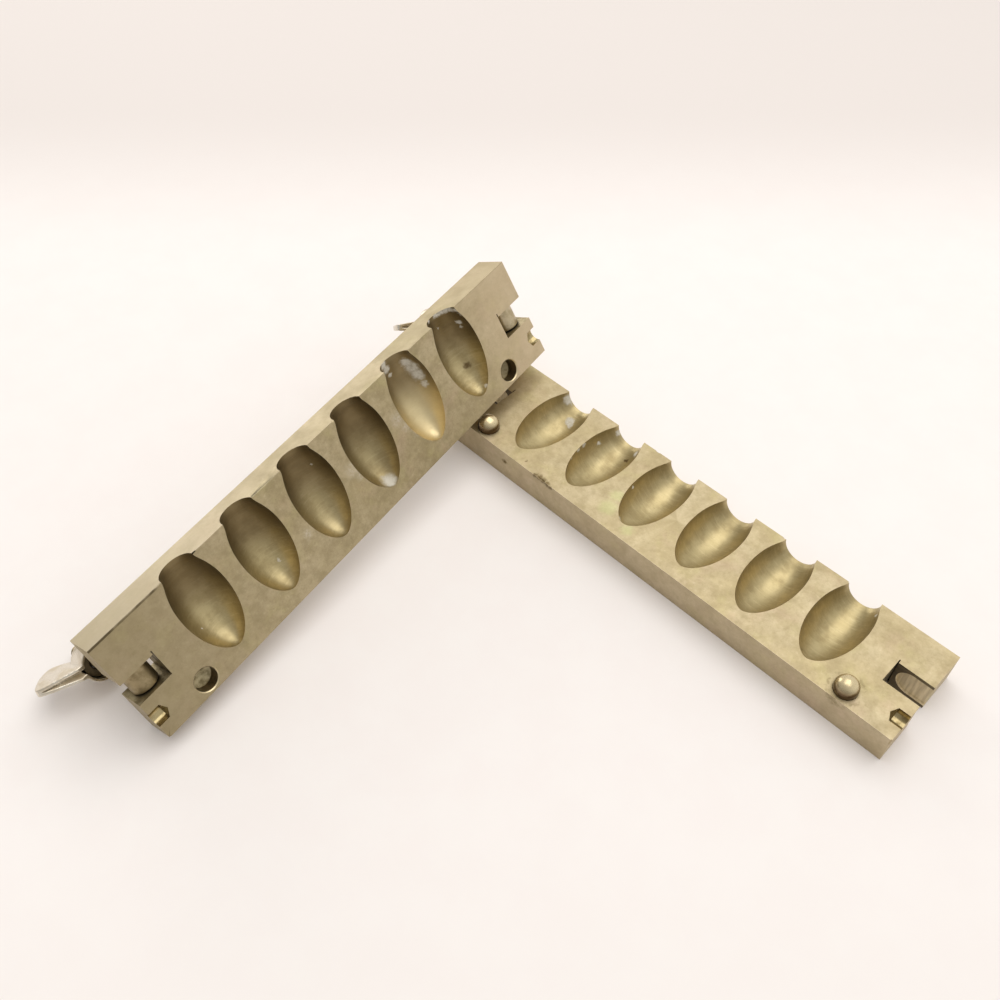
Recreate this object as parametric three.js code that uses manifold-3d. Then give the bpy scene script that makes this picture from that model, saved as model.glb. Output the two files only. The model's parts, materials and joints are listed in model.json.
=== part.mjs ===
import * as THREE from 'three';
import { mergeVertices } from 'three/addons/utils/BufferGeometryUtils.js';
import Module from 'manifold-3d';

const wasm = await Module();
wasm.setup();

// Driving dimensions, in millimetres

// The bar that each half of the mould is cut from
const BLOCK_LENGTH = 170;
const BLOCK_WIDTH = 35;
const BLOCK_THICKNESS = 11.2;

// Cavities: half egg shapes across the bar, their mouths on the pouring edge
const CAVITY_COUNT = 6;
const CAVITY_PITCH = 22;
const CAVITY_RADIUS = 8.2;
const CAVITY_TIP_REACH = 17;
const CAVITY_NECK_REACH = 15.2;
const CAVITY_TIP_MARGIN = 5;
const NECK_RADIUS = 5.25;
const TIP_TAPER_SHARE = 0.57;

// Notches in the end faces, for the swing bolts
const NOTCH_DEPTH = 11.4;
const NOTCH_WIDTH = 8.2;
const RELIEF_RADIUS = 4.4;
const RELIEF_DEPTH = 0.7;

// Half holes in the end faces, on the joint line
const END_HOLE_RADIUS = 2.55;
const END_HOLE_DEPTH = 3.6;
const END_HOLE_POINT = 1.2;
const END_HOLE_MARGIN = 7.1;

// Dowel pins and their sockets
const DOWEL_RADIUS = 3.5;
const DOWEL_STEM = 5.4;
const DOWEL_PROUD = 4.6;
const DOWEL_DOME = 2.6;
const DOWEL_END_MARGIN = 16.9;
const DOWEL_EDGE_MARGIN = 4.5;
const SOCKET_CLEARANCE = 0.1;
const SOCKET_END_CLEARANCE = 0.8;
const SOCKET_CHAMFER = 0.1;

// Cross pins and swing bolts
const PIVOT_END_MARGIN = 5.6;
const PIN_RADIUS = 1.2;
const PIN_TAIL = 5;
const BARREL_RADIUS = 4;
const SHANK_RADIUS = 2.2;
const SHANK_REACH = 33.5;

// Wing nuts: a pressed cup with two folded wings, and a threaded bush inside
const SHEET = 0.8;
const CUP_HEIGHT = 7.7;
const CUP_RIM_RADIUS = 5.8;
const CUP_TOP_RADIUS = 5.6;
const CUP_CUSP = 1;
const BUSH_SETBACK = 2;
const WING_SPAN = 17.5;
const WING_HEIGHT = 13.4;
const WING_ROOT_OUT = 4.7;
const WING_RIM_THICKNESS = 4;
const WING_TOP_THICKNESS = 1.8;

// The free edge of a wing from its front corner to its back, out from the axis and up from the rim
const WING_EDGE_SHARES = [
  [0.97, 0.34],
  [1, 0.46],
  [0.87, 0.71],
  [0.76, 0.87],
  [0.62, 0.98],
  [0.5, 1],
  [0.36, 0.79],
];

// How the loose half lies: one long edge on the ground and across the other half
const LEAN_YAW = THREE.MathUtils.degToRad(97.5);
const LEAN_TILT = THREE.MathUtils.degToRad(62.4);
const LEAN_OVERHANG = 36.5;
const LEAN_END_MARGIN = 5.9;

// How far each nut is backed off from where it clamps, and how it is turned on its bolt
const LEFT_NUT_BACK_OFF = 2.3;
const RIGHT_NUT_BACK_OFF = 8.7;
const LEFT_NUT_TURN = THREE.MathUtils.degToRad(14);
const RIGHT_NUT_TURN = THREE.MathUtils.degToRad(32);

// How far the left bolt leans out of its notch, where the right one hangs plumb
const LEFT_BOLT_LEAN = THREE.MathUtils.degToRad(6);

// Gap between touching pieces, and how far a cut runs past the face it opens
const GAP = 0.3;
const OVERRUN = 1;

// Facets
const CAVITY_STEPS = 32;
const CAVITY_RINGS = 7;
const ROUND_STEPS = 24;
const ARC_STEPS = 6;

// Places that follow from the sizes
const HALF_LENGTH = BLOCK_LENGTH / 2;
const HALF_WIDTH = BLOCK_WIDTH / 2;
const MID_THICKNESS = -BLOCK_THICKNESS / 2;
const CAVITY_WAIST_Y = -HALF_WIDTH + CAVITY_TIP_MARGIN + CAVITY_TIP_REACH;
const DOWEL_X = HALF_LENGTH - DOWEL_END_MARGIN;
const DOWEL_Y = -HALF_WIDTH + DOWEL_EDGE_MARGIN;
const END_HOLE_Y = -HALF_WIDTH + END_HOLE_MARGIN;
const PIVOT_X = HALF_LENGTH - PIVOT_END_MARGIN;
const CLAMP_REACH = BLOCK_THICKNESS - MID_THICKNESS;
const LEAN_RUN = BLOCK_LENGTH - LEAN_OVERHANG;
const ENDS = [-1, 1];

// Solids

function toSolid(geometry) {
  const bare = geometry.clone();
  bare.deleteAttribute('normal');
  bare.deleteAttribute('uv');
  const merged = mergeVertices(bare);
  return new wasm.Manifold(new wasm.Mesh({
    numProp: 3,
    vertProperties: new Float32Array(merged.attributes.position.array),
    triVerts: new Uint32Array(merged.index.array),
  }));
}

function toGeometry(solid) {
  const mesh = solid.getMesh();
  const geometry = new THREE.BufferGeometry();
  geometry.setAttribute('position', new THREE.BufferAttribute(mesh.vertProperties, mesh.numProp));
  geometry.setIndex(new THREE.BufferAttribute(mesh.triVerts, 1));
  geometry.computeVertexNormals();
  return geometry;
}

function join(geometries) {
  const solids = geometries.map(toSolid);
  return toGeometry(solids.reduce((whole, next) => whole.add(next)));
}

function cut(base, tools) {
  return toGeometry(tools.map(toSolid).reduce((rest, tool) => rest.subtract(tool), toSolid(base)));
}

function turned(points, steps = ROUND_STEPS) {
  return new THREE.LatheGeometry(points.map(([radius, height]) => new THREE.Vector2(radius, height)), steps);
}

function turnedUpright(points) {
  return turned(points).rotateX(Math.PI / 2);
}

function rodAlongY(radius, length) {
  return new THREE.CylinderGeometry(radius, radius, length, ROUND_STEPS);
}

// A flat outline in x and z, given its thickness along y, centred on y = 0
function slab(shape, thickness) {
  const geometry = new THREE.ExtrudeGeometry(shape, {
    depth: thickness,
    bevelEnabled: false,
    curveSegments: ARC_STEPS,
  });
  return geometry.translate(0, 0, -thickness / 2).rotateX(Math.PI / 2);
}

// The bar and what is cut from it. The joint face is z = 0 and the pouring edge faces +y

function bar() {
  return new THREE.BoxGeometry(BLOCK_LENGTH, BLOCK_WIDTH, BLOCK_THICKNESS).translate(0, 0, MID_THICKNESS);
}

function cavityProfile() {
  const tipY = CAVITY_WAIST_Y - CAVITY_TIP_REACH;
  const mouthY = HALF_WIDTH + OVERRUN;
  const neckAngle = Math.acos(NECK_RADIUS / CAVITY_RADIUS);
  const points = [[0, tipY]];
  for (let ring = 1; ring <= CAVITY_RINGS; ring += 1) {
    const angle = (Math.PI / 2) * (1 - ring / CAVITY_RINGS);
    const radius = CAVITY_RADIUS * Math.cos(angle) ** (2 * TIP_TAPER_SHARE);
    points.push([radius, CAVITY_WAIST_Y - CAVITY_TIP_REACH * Math.sin(angle)]);
  }
  for (let ring = 1; ring <= CAVITY_RINGS; ring += 1) {
    const angle = neckAngle * (ring / CAVITY_RINGS);
    points.push([CAVITY_RADIUS * Math.cos(angle), CAVITY_WAIST_Y + CAVITY_NECK_REACH * Math.sin(angle)]);
  }
  points.push([NECK_RADIUS, mouthY]);
  points.push([0, mouthY]);
  return points;
}

function cavities() {
  const profile = cavityProfile();
  const middle = (CAVITY_COUNT - 1) / 2;
  return Array.from({ length: CAVITY_COUNT }, (_, index) =>
    turned(profile, CAVITY_STEPS).translate((index - middle) * CAVITY_PITCH, 0, 0));
}

function notch(end) {
  const length = NOTCH_DEPTH + OVERRUN;
  const height = BLOCK_THICKNESS + 2 * OVERRUN;
  const middleX = HALF_LENGTH - NOTCH_DEPTH + length / 2;
  return new THREE.BoxGeometry(length, NOTCH_WIDTH, height).translate(end * middleX, 0, MID_THICKNESS);
}

// The shallow round ended recess in both side walls of a notch
function notchRelief(end) {
  const shape = new THREE.Shape();
  const outerX = PIVOT_END_MARGIN + OVERRUN;
  shape.moveTo(outerX, -RELIEF_RADIUS);
  shape.lineTo(outerX, RELIEF_RADIUS);
  shape.lineTo(0, RELIEF_RADIUS);
  shape.absarc(0, 0, RELIEF_RADIUS, Math.PI / 2, Math.PI * 1.5, false);
  const recess = slab(shape, NOTCH_WIDTH + 2 * RELIEF_DEPTH);
  return recess.rotateZ(end < 0 ? Math.PI : 0).translate(end * PIVOT_X, 0, MID_THICKNESS);
}

function endHole(end) {
  const profile = [
    [0, -END_HOLE_DEPTH - END_HOLE_POINT],
    [END_HOLE_RADIUS, -END_HOLE_DEPTH],
    [END_HOLE_RADIUS, OVERRUN],
    [0, OVERRUN],
  ];
  return turned(profile).rotateZ(-end * Math.PI / 2).translate(end * HALF_LENGTH, END_HOLE_Y, 0);
}

function dowelHole(end) {
  const radius = DOWEL_RADIUS + GAP;
  const profile = [[0, -DOWEL_STEM - GAP], [radius, -DOWEL_STEM - GAP], [radius, OVERRUN], [0, OVERRUN]];
  return turnedUpright(profile).translate(end * DOWEL_X, DOWEL_Y, 0);
}

function dowelSocket(end) {
  const radius = DOWEL_RADIUS + SOCKET_CLEARANCE;
  const depth = DOWEL_PROUD + SOCKET_END_CLEARANCE;
  const profile = [
    [0, -depth],
    [radius, -depth],
    [radius, -SOCKET_CHAMFER],
    [radius + SOCKET_CHAMFER, 0],
    [radius + SOCKET_CHAMFER, OVERRUN],
    [0, OVERRUN],
  ];
  return turnedUpright(profile).translate(end * DOWEL_X, DOWEL_Y, 0);
}

const PIN_LENGTH = HALF_WIDTH + NOTCH_WIDTH / 2 + PIN_TAIL;

function pinHole(end) {
  const length = PIN_LENGTH + GAP + OVERRUN;
  const middleY = HALF_WIDTH + OVERRUN - length / 2;
  return rodAlongY(PIN_RADIUS + GAP, length).translate(end * PIVOT_X, middleY, MID_THICKNESS);
}

function halfABlock() {
  return cut(bar(), [
    ...cavities(),
    ...ENDS.flatMap((end) => [notch(end), endHole(end), dowelSocket(end), pinHole(end)]),
  ]);
}

function halfBBlock() {
  return cut(bar(), [
    ...cavities(),
    ...ENDS.flatMap((end) => [notch(end), notchRelief(end), endHole(end), dowelHole(end)]),
  ]);
}

// Dowel pins and cross pins

function dowelPin() {
  const profile = [[0, -DOWEL_STEM], [DOWEL_RADIUS, -DOWEL_STEM]];
  for (let step = 0; step < ARC_STEPS; step += 1) {
    const angle = (Math.PI / 2) * (step / ARC_STEPS);
    profile.push([
      DOWEL_RADIUS * Math.cos(angle),
      DOWEL_PROUD - DOWEL_DOME + DOWEL_DOME * Math.sin(angle),
    ]);
  }
  profile.push([0, DOWEL_PROUD]);
  return turnedUpright(profile);
}

function crossPin() {
  return rodAlongY(PIN_RADIUS, PIN_LENGTH).translate(0, HALF_WIDTH - PIN_LENGTH / 2, 0);
}

// A swing bolt, its pivot at the origin and its shank along +z

function swingBolt() {
  const barrelLength = NOTCH_WIDTH - 2 * GAP;
  const shank = new THREE.CylinderGeometry(SHANK_RADIUS, SHANK_RADIUS, SHANK_REACH, ROUND_STEPS);
  shank.rotateX(Math.PI / 2).translate(0, 0, SHANK_REACH / 2);
  const blank = join([rodAlongY(BARREL_RADIUS, barrelLength), shank]);
  return cut(blank, [rodAlongY(PIN_RADIUS + GAP, barrelLength + 2 * OVERRUN)]);
}

// A wing nut, its open rim at z = 0 and its wings rising along +z

function cupInnerRadius(height) {
  const slope = (CUP_TOP_RADIUS - CUP_RIM_RADIUS) / CUP_HEIGHT;
  return CUP_RIM_RADIUS - SHEET + slope * height;
}

function cupBody() {
  return turnedUpright([
    [0, 0],
    [CUP_RIM_RADIUS, 0],
    [CUP_TOP_RADIUS, CUP_HEIGHT - SHEET],
    [CUP_TOP_RADIUS - SHEET, CUP_HEIGHT],
    [0, CUP_HEIGHT],
  ]);
}

function cupHollow() {
  const bore = SHANK_RADIUS + GAP;
  const ceiling = CUP_HEIGHT - SHEET;
  const top = CUP_HEIGHT + OVERRUN;
  return turnedUpright([
    [0, -OVERRUN],
    [cupInnerRadius(-OVERRUN), -OVERRUN],
    [cupInnerRadius(ceiling), ceiling],
    [bore, ceiling],
    [bore, top],
    [0, top],
  ]);
}

// The cup is drawn out to a cusp on two sides, along tangents of a circle of the given radius
function cusp(radius, bottom, top) {
  const spread = Math.acos(CUP_RIM_RADIUS / (CUP_RIM_RADIUS + CUP_CUSP));
  const touchX = radius * Math.cos(spread);
  const touchY = radius * Math.sin(spread);
  const reach = radius / Math.cos(spread);
  const shape = new THREE.Shape([
    new THREE.Vector2(-reach, 0),
    new THREE.Vector2(-touchX, -touchY),
    new THREE.Vector2(touchX, -touchY),
    new THREE.Vector2(reach, 0),
    new THREE.Vector2(touchX, touchY),
    new THREE.Vector2(-touchX, touchY),
  ]);
  const prism = new THREE.ExtrudeGeometry(shape, { depth: top - bottom, bevelEnabled: false });
  return prism.translate(0, 0, bottom);
}

// A wing's outline, counterclockwise from where its front edge leaves the rim
function wingCorners() {
  const edge = WING_EDGE_SHARES.map(([out, up]) => new THREE.Vector2(out * WING_SPAN, up * WING_HEIGHT));
  return [
    new THREE.Vector2(CUP_RIM_RADIUS + CUP_CUSP, 0),
    ...edge,
    new THREE.Vector2(WING_ROOT_OUT, CUP_HEIGHT),
    new THREE.Vector2(WING_ROOT_OUT, 0),
  ];
}

// Where two sides of an outline meet once each has moved inwards by its own distance
function movedCorner(before, corner, after, distanceBefore, distanceAfter) {
  const first = corner.clone().sub(before).normalize();
  const second = after.clone().sub(corner).normalize();
  const slant = first.cross(second);
  const along = (distanceBefore * first.dot(second) - distanceAfter) / slant;
  const foot = new THREE.Vector2(-first.y, first.x).multiplyScalar(distanceBefore).add(corner);
  return foot.addScaledVector(first, along);
}

// The slit's outline lies a sheet inside the wing's, and runs out through its front and its root
function slitCorners() {
  const corners = wingCorners();
  const count = corners.length;
  const distances = corners.map((_, index) => (index === 0 || index >= count - 2 ? -OVERRUN : SHEET));
  return corners.map((corner, index) => {
    const previous = (index + count - 1) % count;
    return movedCorner(corners[previous], corner, corners[(index + 1) % count],
      distances[previous], distances[index]);
  });
}

// A plate whose thickness changes evenly from the rim to the top of the wings
function wedge(corners, rimThickness, topThickness) {
  const geometry = slab(new THREE.Shape(corners), 1);
  const place = geometry.attributes.position;
  for (let index = 0; index < place.count; index += 1) {
    const share = place.getZ(index) / WING_HEIGHT;
    place.setY(index, place.getY(index) * THREE.MathUtils.lerp(rimThickness, topThickness, share));
  }
  return geometry;
}

function wing(side) {
  const plate = wedge(wingCorners(), WING_RIM_THICKNESS, WING_TOP_THICKNESS);
  return plate.rotateZ(side < 0 ? Math.PI : 0);
}

function wingSlit(side) {
  const slit = wedge(slitCorners(), WING_RIM_THICKNESS - 2 * SHEET, WING_TOP_THICKNESS - 2 * SHEET);
  return slit.rotateZ(side < 0 ? Math.PI : 0);
}

function wingShell() {
  const blank = join([cupBody(), cusp(CUP_TOP_RADIUS, 0, CUP_HEIGHT - SHEET), ...ENDS.map(wing)]);
  const hollow = cusp(CUP_TOP_RADIUS - SHEET, -OVERRUN, CUP_HEIGHT - 2 * SHEET);
  return cut(blank, [cupHollow(), hollow, ...ENDS.map(wingSlit)]);
}

function threadedBush() {
  const top = CUP_HEIGHT - SHEET - GAP;
  const bore = SHANK_RADIUS + GAP;
  return turnedUpright([
    [bore, BUSH_SETBACK],
    [cupInnerRadius(BUSH_SETBACK) - GAP, BUSH_SETBACK],
    [cupInnerRadius(top) - GAP, top],
    [bore, top],
    [bore, BUSH_SETBACK],
  ]);
}

// Materials

const olive = { color: 0xa09270, roughness: 0.45, metalness: 1 };
const sand = { color: 0xcdbb94, roughness: 0.42, metalness: 1 };
const bright = { color: 0xb9a777, roughness: 0.3, metalness: 1 };
const nickel = { color: 0xd9d1c1, roughness: 0.28, metalness: 1 };

function piece(name, geometry, finish) {
  const mesh = new THREE.Mesh(geometry, new THREE.MeshStandardMaterial(finish));
  mesh.name = name;
  return mesh;
}

// Half B lies on its back, joint face up

function halfB() {
  const group = new THREE.Group();
  group.add(piece('half_b_block', halfBBlock(), sand));
  const left = piece('dowel_pin_left', dowelPin(), bright);
  left.position.set(-DOWEL_X, DOWEL_Y, 0);
  const right = piece('dowel_pin_right', dowelPin(), bright);
  right.position.set(DOWEL_X, DOWEL_Y, 0);
  group.add(left, right);
  group.position.z = BLOCK_THICKNESS;
  return group;
}

// Half A carries a swing bolt and a wing nut at each end

function wingNut(side, backOff, turn) {
  const group = new THREE.Group();
  group.add(piece(`wing_shell_${side}`, wingShell(), nickel));
  group.add(piece(`threaded_bush_${side}`, threadedBush(), bright));
  group.position.z = CLAMP_REACH + backOff;
  group.rotation.z = turn;
  return group;
}

function boltAndNut(side, end, nut, hang) {
  const group = new THREE.Group();
  group.add(piece(`swing_bolt_${side}`, swingBolt(), bright));
  group.add(nut);
  group.position.set(end * PIVOT_X, 0, MID_THICKNESS);
  group.rotation.y = Math.PI + hang;
  return group;
}

function placedPin(side, end) {
  const pin = piece(`cross_pin_${side}`, crossPin(), bright);
  pin.position.set(end * PIVOT_X, 0, MID_THICKNESS);
  return pin;
}

// The low back edge rises from the ground, and crosses the near top edge of half B
function leanBack(group) {
  const pitch = Math.asin((BLOCK_THICKNESS + GAP) / LEAN_RUN);
  group.rotation.set(LEAN_TILT, -pitch, LEAN_YAW, 'ZYX');
  const crossing = new THREE.Vector3(LEAN_RUN - HALF_LENGTH, -HALF_WIDTH, -BLOCK_THICKNESS);
  crossing.applyEuler(group.rotation);
  group.position.set(LEAN_END_MARGIN - HALF_LENGTH, -HALF_WIDTH, BLOCK_THICKNESS + GAP).sub(crossing);
}

// The angle at which a bolt hangs plumb behind the tilted half
function hangAngle(group) {
  const down = new THREE.Vector3(0, 0, -1).applyQuaternion(group.quaternion.clone().invert());
  return Math.atan2(-down.x, -down.z);
}

function halfA() {
  const group = new THREE.Group();
  leanBack(group);
  group.add(piece('half_a_block', halfABlock(), olive));
  group.add(placedPin('left', -1), placedPin('right', 1));
  const leftNut = wingNut('left', LEFT_NUT_BACK_OFF, LEFT_NUT_TURN);
  const rightNut = wingNut('right', RIGHT_NUT_BACK_OFF, RIGHT_NUT_TURN);
  group.add(boltAndNut('left', -1, leftNut, LEFT_BOLT_LEAN));
  group.add(boltAndNut('right', 1, rightNut, hangAngle(group)));
  return group;
}

const mould = new THREE.Group();
mould.add(halfB(), halfA());

export default mould;
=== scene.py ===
import json
import math

import bmesh
import bpy
from mathutils import Matrix, Vector, noise


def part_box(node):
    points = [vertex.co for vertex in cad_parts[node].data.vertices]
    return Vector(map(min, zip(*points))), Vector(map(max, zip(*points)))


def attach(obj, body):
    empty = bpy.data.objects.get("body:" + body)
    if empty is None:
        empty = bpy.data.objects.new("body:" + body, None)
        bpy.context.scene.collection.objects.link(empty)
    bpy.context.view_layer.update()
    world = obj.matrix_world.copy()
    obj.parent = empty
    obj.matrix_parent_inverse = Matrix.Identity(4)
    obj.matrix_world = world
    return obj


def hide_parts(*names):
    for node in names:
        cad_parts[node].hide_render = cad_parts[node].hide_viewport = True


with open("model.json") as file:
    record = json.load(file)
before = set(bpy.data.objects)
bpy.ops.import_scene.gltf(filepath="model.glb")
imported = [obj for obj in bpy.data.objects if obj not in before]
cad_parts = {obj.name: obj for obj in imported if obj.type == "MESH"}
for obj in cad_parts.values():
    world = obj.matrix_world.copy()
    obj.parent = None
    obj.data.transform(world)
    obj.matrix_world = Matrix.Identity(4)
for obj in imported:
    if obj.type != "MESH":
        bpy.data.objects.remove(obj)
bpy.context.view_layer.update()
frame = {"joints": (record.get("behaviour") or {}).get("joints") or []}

# Shapes are made in millimetres and brought into the frame at the end
MM = 0.001

# Sizes read from the frame
low_b, high_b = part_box("half_b_block")
BAR_LENGTH = (high_b.x - low_b.x) / MM
BAR_WIDTH = (high_b.y - low_b.y) / MM
BAR_THICKNESS = (high_b.z - low_b.z) / MM
HALF_LENGTH = BAR_LENGTH / 2
HALF_WIDTH = BAR_WIDTH / 2
MID_DEPTH = -BAR_THICKNESS / 2
EDGE_ROUND = 0.22

# Faces of at least this many square millimetres are shaded flat, so that nicks leave no smear
FLAT_FACE_AREA = 8.0

# Cavities
CAVITY_COUNT = 6
CAVITY_PITCH = 22.0
CAVITY_RADIUS = 8.2
CAVITY_TIP_REACH = 17.0
CAVITY_NECK_REACH = 15.2
CAVITY_TIP_MARGIN = 5.0
NECK_RADIUS = 5.25
NECK_BLEND = 0.9
TIP_TAPER = 0.57
CAVITY_RINGS = 26
CAVITY_STEPS = 48
WAIST_Y = -HALF_WIDTH + CAVITY_TIP_MARGIN + CAVITY_TIP_REACH

# Notches, end holes, dowels and pins
NOTCH_DEPTH = 11.4
NOTCH_WIDTH = 8.2
NOTCH_NARROWING = 0.45
SAW_WIDTH = 0.35
SAW_OVERCUT = 1.1
RELIEF_RADIUS = 4.4
RELIEF_DEPTH = 0.7
END_HOLE_RADIUS = 2.55
END_HOLE_DEPTH = 3.6
END_HOLE_POINT = 1.2
END_HOLE_Y = -HALF_WIDTH + 7.1
DOWEL_RADIUS = 3.5
DOWEL_PROUD = 4.6
DOWEL_DOME = 3.3
DOWEL_PEAK = 0.2
DOWEL_STEM = 5.4
DOWEL_X = HALF_LENGTH - 16.9
DOWEL_Y = -HALF_WIDTH + 4.5
SOCKET_RADIUS = 3.52
SOCKET_DEPTH = 5.4
SOCKET_CHAMFER = 0.3
SOCKET_CONE = 1.1
PIN_RADIUS = 1.2
PIN_TAIL = 5.0
PIVOT_X = HALF_LENGTH - 5.6
FIT_GAP = 0.05

# Bolts and wing nuts
BARREL_RADIUS = 4.0
BARREL_PLAY = 0.6
BARREL_LENGTH = NOTCH_WIDTH - BARREL_PLAY
SHANK_RADIUS = 2.2
SHANK_REACH = 33.5
THREAD_START = 8.0
THREAD_PITCH = 0.9
THREAD_DEPTH = 0.42
SHEET = 0.8
CUP_HEIGHT = 7.7
CUP_RIM_RADIUS = 5.8
CUP_TOP_RADIUS = 5.6
CUP_CUSP = 1.0
BORE_RADIUS = 2.5
BUSH_SETBACK = 2.0
WING_SPAN = 17.5
WING_HEIGHT = 13.4
WING_ROOT_OUT = 4.7
WING_RIM_THICKNESS = 4.0
THINNING_OUT = -0.0948
THINNING_UP = -0.165
SLIT_DEPTH = 2.3
SLIT_SETBACK = 2.5
SLIT_GAPE = (3.9, 0.9, 0.1, 0.1)
WING_EDGE = (
    (0.97, 0.34), (1.0, 0.46), (0.87, 0.71), (0.76, 0.87), (0.62, 0.98), (0.5, 1.0), (0.36, 0.79))
LEFT_NUT_TURN = math.radians(14)
RIGHT_NUT_TURN = math.radians(32)

# Wear, in millimetres on each half: middle and half sizes of nicks, middle and radius of marks.
# A tinted cavity is given by its middle along the bar, the strength of its tint and the tint
NICKS_B = (
    ((-40.4, -17.45, 0.05), (1.7, 0.55, 0.4)), ((-56.4, -17.6, -4.2), (1.9, 0.35, 0.5)),
    ((84.9, -17.4, -1.0), (0.4, 0.3, 1.3)), ((-22.0, 17.45, 0.05), (0.9, 0.4, 0.3)),
    ((27.2, 17.45, 0.05), (0.8, 0.35, 0.3)), ((49.8, 17.5, -0.1), (0.6, 0.35, 0.4)))
NICKS_A = (
    ((-61.2, 17.5, 0.0), (0.8, 0.3, 0.3)), ((-49.2, 17.5, 0.0), (0.9, 0.3, 0.25)),
    ((-27.0, 17.5, 0.0), (0.8, 0.3, 0.25)), ((5.2, 17.5, 0.0), (0.7, 0.3, 0.25)),
    ((38.6, 17.5, 0.0), (0.6, 0.3, 0.25)),
    ((-84.9, -17.4, 0.0), (0.3, 0.4, 0.35)))
# White marks in the cavities: partly chalky film, partly painted highlight along rims and walls.
CHALK_AND_HIGHLIGHT_A = (
    ((56.4, 17.2, -5.1), 1.0), ((57.8, 17.0, -4.5), 1.1), ((59.1, 16.8, -3.2), 1.1),
    ((59.9, 16.6, -1.9), 1.1), ((60.5, 16.0, -0.7), 1.0), ((61.2, 13.8, -0.5), 0.7),
    ((61.7, 10.8, -3.3), 0.9), ((62.0, 8.8, -3.7), 0.6), ((53.0, 17.1, -4.9), 0.6),
    ((56.0, 12.5, -6.9), 0.35),
    ((57.8, -11.2, -0.5), 0.8), ((31.5, 16.5, -5.1), 1.3), ((32.2, 14.5, -6.2), 1.4),
    ((33.0, 11.8, -7.1), 0.7), ((38.6, 12.8, -4.5), 1.7), ((39.4, 10.2, -4.4), 2.2),
    ((40.2, 7.0, -4.3), 2.1), ((40.4, 3.4, -4.2), 1.2), ((11.1, -11.8, -2.3), 2.4),
    ((-5.5, 9.4, -5.5), 0.3), ((-59.2, -4.1, -5.6), 0.3), ((-30.2, -5.7, -5.7), 0.4))
STAINS_A = (((58.4, -3.9, -5.9), 1.1),)
CAVITY_TINTS_A = ((33.0, 0.6, (230, 212, 168)), (11.0, 0.3, (120, 104, 74)), (-11.0, 0.2, (140, 124, 92)))
HAZE_A = (
    ((1.8, 1.7, 0.0), 2.0), ((3.6, -1.5, 0.0), 1.6), ((6.0, -4.0, 0.0), 1.4),
    ((23.3, 3.3, 0.0), 1.9), ((25.0, -0.5, 0.0), 1.5), ((27.3, -4.5, 0.0), 1.4), ((-20.5, -3.0, 0.0), 1.4))
CHALK_AND_HIGHLIGHT_B = (
    ((-59.5, 16.4, -2.7), 1.7), ((-55.1, 12.5, -7.0), 1.4), ((-54.3, 11.0, -6.9), 0.9),
    ((-41.1, 3.3, -0.8), 0.9), ((-40.6, 0.6, -0.8), 0.8), ((-40.0, -3.7, -0.8), 0.5),
    ((-37.6, 16.7, -2.5), 1.0), ((-28.6, 14.9, -4.2), 1.1), ((-39.8, 9.6, -3.7), 0.7),
    ((-14.0, -10.0, -2.6), 0.4), ((-18.9, 1.6, -1.8), 0.6), ((60.8, 14.6, -2.0), 0.6))
STAINS_B = (((-30.0, 12.0, -6.5), 0.8), ((51.5, -8.5, -4.5), 0.5))
GREEN_B = (((-18.2, -11.0, 0.0), 2.6), ((-19.2, -5.5, 0.0), 2.0), ((-8.5, -13.5, 0.0), 1.8))
SMEARS_B = (
    ((-49.1, -15.2, 0.0), 0.3), ((-56.4, -17.4, -4.2), 0.9), ((-43.0, -17.3, -0.2), 0.8),
    ((-41.4, -17.0, 0.0), 0.9), ((-39.8, -17.2, -0.2), 1.1), ((-37.9, -17.4, -0.4), 0.9),
    ((-36.4, -17.5, -0.6), 0.7))
RING_B = ((68.1, -13.0, 0.0), 4.9)

# Photograph's view: 1000 pixels square
IMAGE_SIZE = 1000
FOCAL_PIXELS = 1038.9
SENSOR = 36.0
CAMERA_AT = Vector((98.80, -175.14, 259.66)) * MM
CAMERA_AIM = Vector((-50.13, -25.87, 0.0)) * MM

LAMP_TINT = (1.0, 0.985, 0.965)

ENDS = (-1, 1)


# Mesh helpers

def mesh_from(name, verts, faces):
    mesh = bpy.data.meshes.new(name)
    mesh.from_pydata([tuple(v) for v in verts], [], faces)
    build = bmesh.new()
    build.from_mesh(mesh)
    bmesh.ops.recalc_face_normals(build, faces=build.faces)
    build.to_mesh(mesh)
    build.free()
    return mesh


def object_from(name, mesh):
    obj = bpy.data.objects.new(name, mesh)
    bpy.context.scene.collection.objects.link(obj)
    return obj


def revolve(profile, steps):
    """A closed body turned about z from (radius, height) points; ends on the axis or closes on itself."""
    ring_like = profile[0][0] > 0
    verts = []
    rows = []
    for radius, height in profile:
        if radius <= 0:
            rows.append([len(verts)])
            verts.append((0, 0, height))
            continue
        row = []
        for step in range(steps):
            angle = 2 * math.pi * step / steps
            row.append(len(verts))
            verts.append((radius * math.cos(angle), radius * math.sin(angle), height))
        rows.append(row)
    pairs = list(zip(rows, rows[1:]))
    if ring_like:
        pairs.append((rows[-1], rows[0]))
    faces = []
    for below, above in pairs:
        for step in range(steps):
            after = (step + 1) % steps
            if len(below) == 1 and len(above) == 1:
                continue
            if len(below) == 1:
                faces.append((below[0], above[after], above[step]))
            elif len(above) == 1:
                faces.append((below[step], below[after], above[0]))
            else:
                faces.append((below[step], below[after], above[after], above[step]))
    return mesh_from("turned", verts, faces)


def grid_body(rows, name="grid"):
    """A closed body from equal rings of points, capped at both ends."""
    count = len(rows[0])
    verts = [point for row in rows for point in row]
    faces = []
    for line in range(len(rows) - 1):
        for step in range(count):
            after = (step + 1) % count
            a = line * count
            b = a + count
            faces.append((a + step, a + after, b + after, b + step))
    faces.append(tuple(range(count)))
    faces.append(tuple(range(len(verts) - count, len(verts))))
    return mesh_from(name, verts, faces)


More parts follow.
